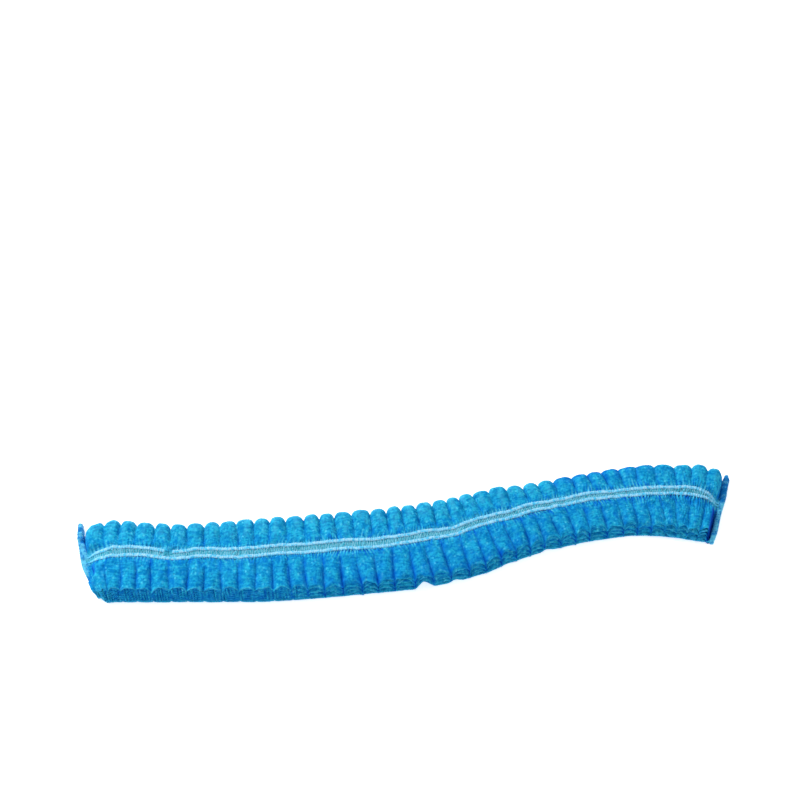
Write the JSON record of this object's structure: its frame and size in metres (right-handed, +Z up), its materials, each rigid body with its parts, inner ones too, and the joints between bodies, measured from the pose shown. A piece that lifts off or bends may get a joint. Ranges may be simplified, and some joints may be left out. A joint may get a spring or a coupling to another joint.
{
  "type": "bouffant cap, folded strip",
  "caption": "Disposable non-woven bouffant cap in its folded state: a gathered, accordion-folded strip with an elastic tape on both faces and fused ends.",
  "frame": {"origin": "under the middle of the whole strip's bounding box, on the surface that it lies on", "axes": "+X along the strip from the left seal to the right one, +Y across it away from the viewer, +Z up through the folded layers"},
  "size_m": [0.2542, 0.0558, 0.01],
  "materials": {
    "nonwoven_cloth": "matte spunbonded cloth, finely crimped",
    "elastic_yarn": "matte white yarn",
    "fused_cloth": "heat fused, slightly glossy"
  },
  "bodies": {
    "root": {"crown": "nonwoven_cloth", "elastic_top": "elastic_yarn", "elastic_bottom": "elastic_yarn", "end_seal_left": "fused_cloth", "end_seal_right": "fused_cloth"}
  },
  "joints": []
}
